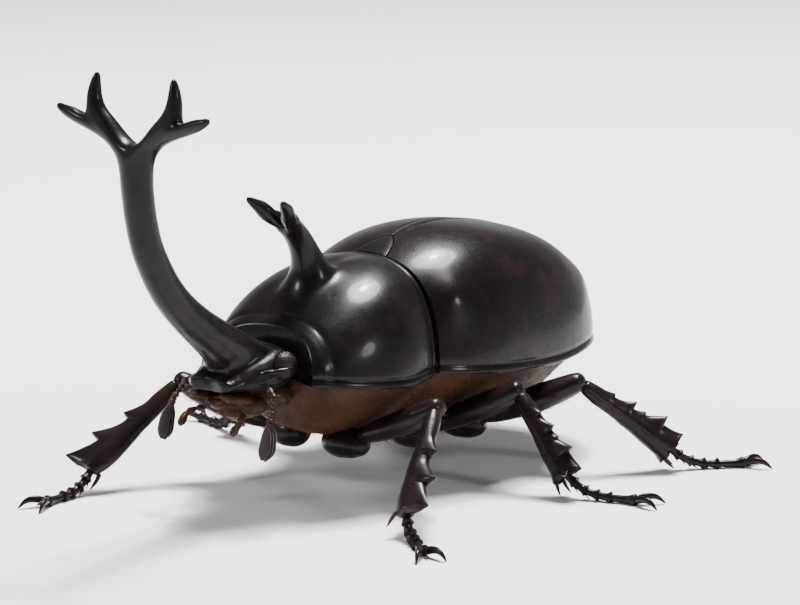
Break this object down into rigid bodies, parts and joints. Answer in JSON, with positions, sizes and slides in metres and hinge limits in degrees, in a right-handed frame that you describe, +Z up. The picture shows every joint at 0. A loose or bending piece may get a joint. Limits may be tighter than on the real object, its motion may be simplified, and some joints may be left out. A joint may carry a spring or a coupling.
{
  "type": "japanese rhinoceros beetle",
  "caption": "Standing male rhinoceros beetle at life size, glossy black, with a long forked head horn and a short forked horn on its back.",
  "frame": {"origin": "middle of the bounding box, on the floor that the feet stand on", "axes": "+Z up; the beetle faces -Y, so +Y points to its rear; +X is its left side"},
  "size_m": [0.0678, 0.07, 0.0454],
  "materials": {
    "shell": "glossy black-brown cuticle, finely punctured",
    "horn": "glossy black cuticle, finely granular",
    "leg": "glossy black-brown cuticle with pits and spines",
    "belly": "satin red-brown cuticle with golden-brown hairs",
    "eye": "glossy black, finely facetted",
    "feeler": "satin dark red-brown",
    "mouth": "red-brown with orange bristles"
  },
  "bodies": {
    "root": {"abdomen": "belly", "antenna_left": "feeler", "antenna_right": "feeler", "cephalic_horn": "horn", "coxa_front_left": "leg", "coxa_front_right": "leg", "coxa_hind_left": "leg", "coxa_hind_right": "leg", "coxa_mid_left": "leg", "coxa_mid_right": "leg", "elytron_left": "shell", "elytron_right": "shell", "eye_left": "eye", "eye_right": "eye", "femur_front_left": "leg", "femur_front_right": "leg", "femur_hind_left": "leg", "femur_hind_right": "leg", "femur_mid_left": "leg", "femur_mid_right": "leg", "head": "shell", "hind_thorax": "belly", "mouthparts": "mouth", "palp_left": "mouth", "palp_right": "mouth", "pronotum": "shell", "prosternum": "belly", "pygidium": "shell", "scutellum": "shell", "tarsus_front_left": "leg", "tarsus_front_right": "leg", "tarsus_hind_left": "leg", "tarsus_hind_right": "leg", "tarsus_mid_left": "leg", "tarsus_mid_right": "leg", "thoracic_horn": "horn", "tibia_front_left": "leg", "tibia_front_right": "leg", "tibia_hind_left": "leg", "tibia_hind_right": "leg", "tibia_mid_left": "leg", "tibia_mid_right": "leg"}
  },
  "joints": []
}
